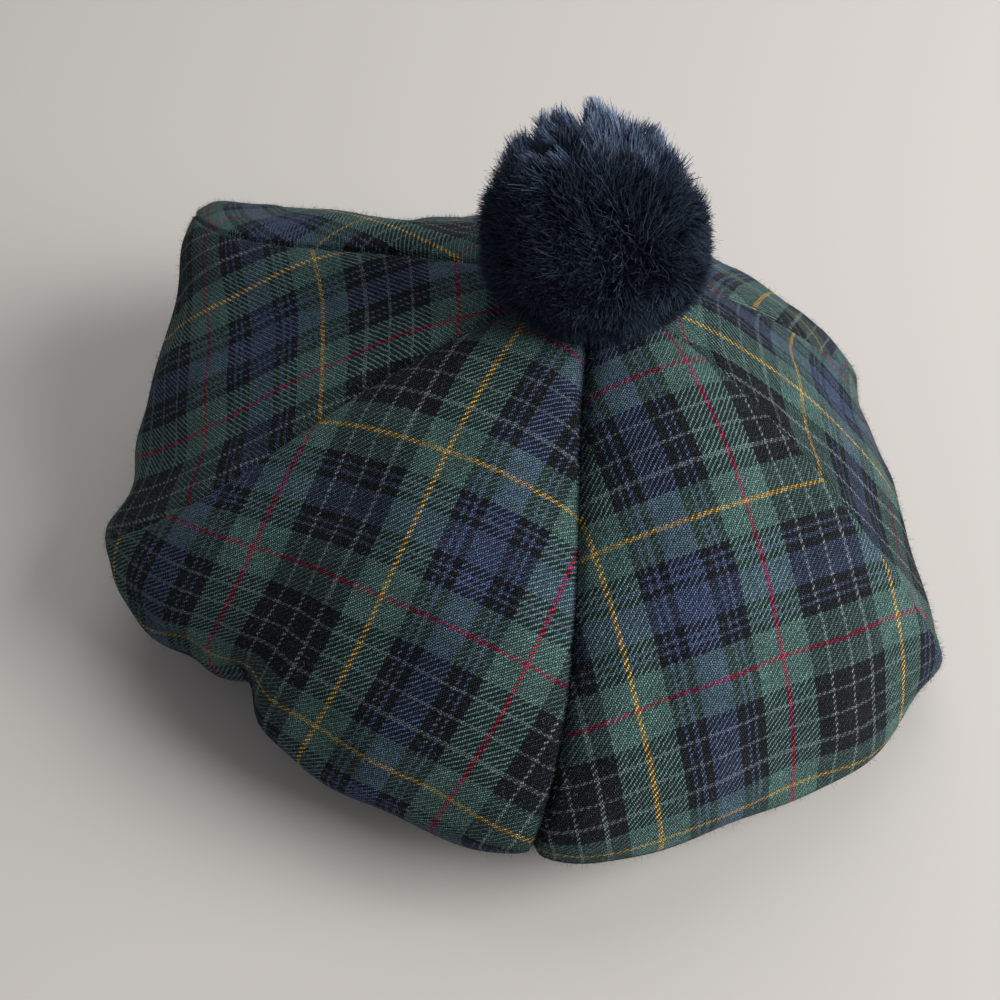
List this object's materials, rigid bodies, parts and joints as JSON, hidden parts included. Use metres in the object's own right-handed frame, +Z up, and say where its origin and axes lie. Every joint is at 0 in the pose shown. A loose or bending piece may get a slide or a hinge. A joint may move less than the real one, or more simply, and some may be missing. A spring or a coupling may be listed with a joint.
{
  "type": "tam o shanter",
  "caption": "Wide soft tartan wool cap of one-piece gores that roll under at the rim to a plain headband, with a large dark navy pompom on the crown.",
  "frame": {"origin": "middle of the hat's footprint in the plane of the headband's flat lower edge, on which it rests", "axes": "+Z up from the head opening to the pompom, -Y towards the front seam, +X to the right as the front is seen"},
  "size_m": [0.277, 0.3002, 0.1687],
  "materials": {
    "tartan_wool": "brushed wool twill, matte",
    "band_cloth": "plain woven cloth, matte",
    "pompom_yarn": "cut yarn pile, matte"
  },
  "bodies": {
    "root": {"gore_front_left": "tartan_wool", "gore_left": "tartan_wool", "gore_back_left": "tartan_wool", "gore_back_right": "tartan_wool", "gore_right": "tartan_wool", "gore_front_right": "tartan_wool", "headband": "band_cloth", "pompom": "pompom_yarn"}
  },
  "joints": []
}
